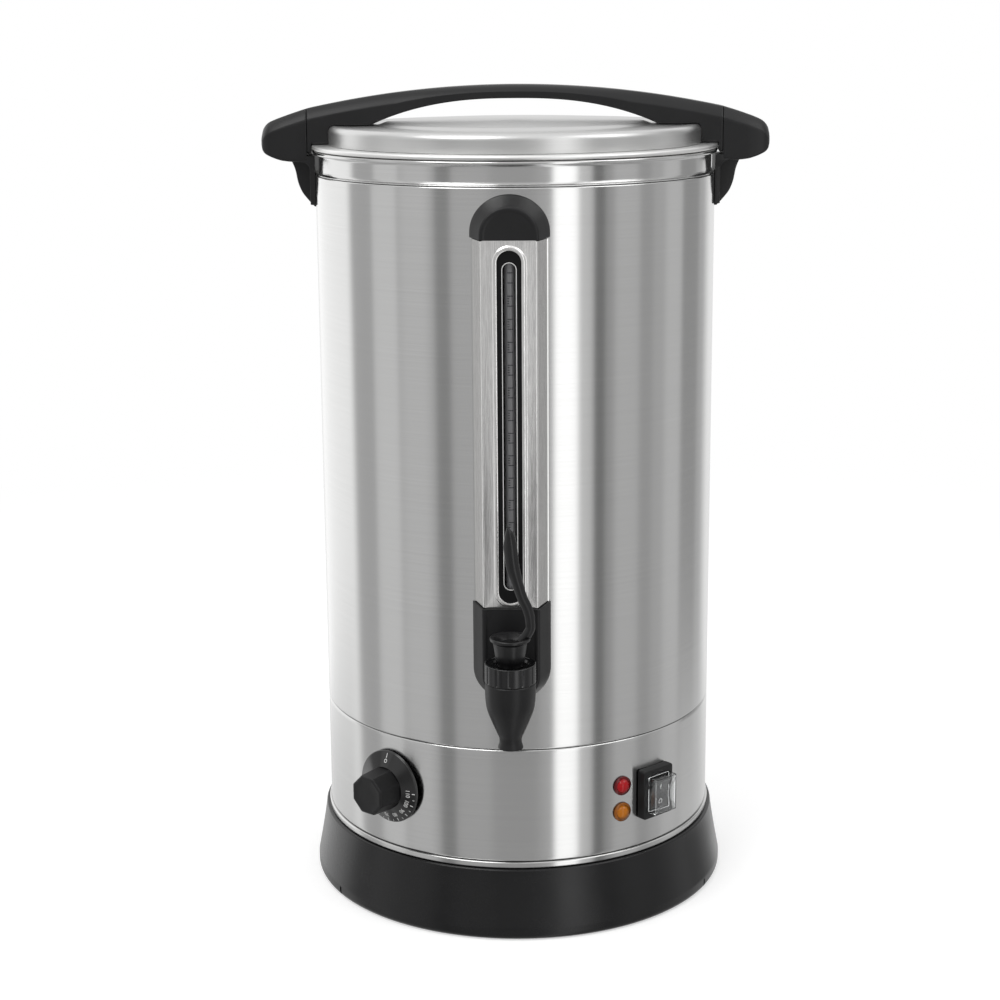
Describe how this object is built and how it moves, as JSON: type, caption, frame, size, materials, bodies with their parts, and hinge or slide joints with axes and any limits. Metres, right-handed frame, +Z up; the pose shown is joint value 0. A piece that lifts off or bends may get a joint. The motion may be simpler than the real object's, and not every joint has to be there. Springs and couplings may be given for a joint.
{
  "type": "hot water urn",
  "caption": "Tall steel hot water urn with a twist-off handled lid, side handles, a front sight gauge, a lever tap, a thermostat dial, lamps and a covered rocker switch.",
  "frame": {"origin": "on the urn's axis, on the flat underside that it stands on", "axes": "+Z up along the urn's axis; -Y is the front, where the tap and the gauge are; +X is to the right of someone who looks at the front"},
  "size_m": [0.38, 0.3763, 0.6144],
  "materials": {
    "body_steel": "brushed along the height, satin",
    "bright_steel": "bright",
    "tank_steel": "drawn, dull",
    "black_plastic": "black, fine spark texture",
    "knob_plastic": "black, semi-gloss",
    "tap_plastic": "black, satin",
    "scale_strip": "black with a pale printed scale",
    "clear_tube": "clear",
    "silicone": "matt, translucent white",
    "aluminium": "cast",
    "brass": "drawn tube",
    "red_lens": "clear red, domed",
    "amber_lens": "clear amber, domed",
    "clear_cover": "clear, soft moulding",
    "nylon": "natural, matt",
    "insulation": "woven sleeve"
  },
  "bodies": {
    "urn": {"outer_body": "body_steel", "upper_collar": "body_steel", "control_band": "body_steel", "gauge_cover": "body_steel", "base_trim_ring": "bright_steel", "base_screw_1": "bright_steel", "base_screw_2": "bright_steel", "base_screw_3": "bright_steel", "side_screw_left": "bright_steel", "side_screw_right": "bright_steel", "thermostat_screw_upper": "bright_steel", "thermostat_screw_lower": "bright_steel", "tap_spring": "bright_steel", "inner_tank": "tank_steel", "base_skirt": "black_plastic", "bottom_plate": "black_plastic", "side_handle_left": "black_plastic", "side_handle_right": "black_plastic", "tap_housing": "black_plastic", "gauge_top_cap": "black_plastic", "switch_housing": "black_plastic", "cord_gland": "black_plastic", "tap_body": "tap_plastic", "tap_bonnet": "tap_plastic", "gauge_strip": "scale_strip", "sight_tube": "clear_tube", "tube_seal_lower": "silicone", "tube_seal_upper": "silicone", "tap_gasket_inner": "silicone", "tap_gasket_outer": "silicone", "heater_plate": "aluminium", "heating_element": "aluminium", "thermostat_bulb": "brass", "red_lamp_lens": "red_lens", "amber_lamp_lens": "amber_lens", "switch_cover": "clear_cover", "gauge_block": "nylon", "tap_nut": "nylon", "gland_nut": "nylon", "thermal_cutout": "nylon", "thermostat_body": "nylon", "terminal_block": "nylon", "red_lamp_body": "nylon", "amber_lamp_body": "nylon", "supply_lead": "insulation", "switch_lead": "insulation", "heater_lead": "insulation"},
    "lid_seal": {"lid_gasket": "silicone"},
    "lid": {"lid_shell": "body_steel", "lid_handle": "black_plastic", "handle_screw_left": "bright_steel", "handle_screw_right": "bright_steel"},
    "tap_handle": {"tap_lever": "tap_plastic"},
    "tap_valve": {"tap_stem": "nylon", "tap_seat_cup": "silicone", "tap_pin": "bright_steel"},
    "dial": {"thermostat_knob": "knob_plastic", "thermostat_shaft": "bright_steel"},
    "rocker": {"switch_rocker": "knob_plastic"}
  },
  "joints": [
    {"name": "lid_lift", "type": "slide", "parent": "urn", "child": "lid_seal", "axis": [0, 0, 1], "range_m": [0, 0.12]},
    {"name": "lid_turn", "type": "hinge", "parent": "lid_seal", "child": "lid", "pos_m": [0, 0, 0.5715], "axis": [0, 0, 1], "range_deg": [0, 25]},
    {"name": "tap_lever_tilt", "type": "hinge", "parent": "urn", "child": "tap_handle", "pos_m": [0, -0.2051, 0.2238], "axis": [1, 0, 0], "range_deg": [0, 20], "stiffness_Nm_per_rad": 0.25, "springref_deg": -17.19},
    {"name": "tap_stem_lift", "type": "slide", "parent": "urn", "child": "tap_valve", "axis": [0, 0, 1], "range_m": [0, 0.0027], "deforming": ["tap_spring"]},
    {"name": "thermostat_turn", "type": "hinge", "parent": "urn", "child": "dial", "pos_m": [-0.09131, -0.119, 0.1046], "axis": [0.6088, 0.7934, 0], "range_deg": [0, 270]},
    {"name": "switch_rock", "type": "hinge", "parent": "urn", "child": "rocker", "pos_m": [0.10352, -0.10993, 0.0985], "axis": [-0.728, -0.6856, 0], "range_deg": [0, 18]}
  ],
  "couplings": [
    {"joint": "tap_stem_lift", "follows": "tap_lever_tilt", "m_per_rad": 0.0077}
  ]
}
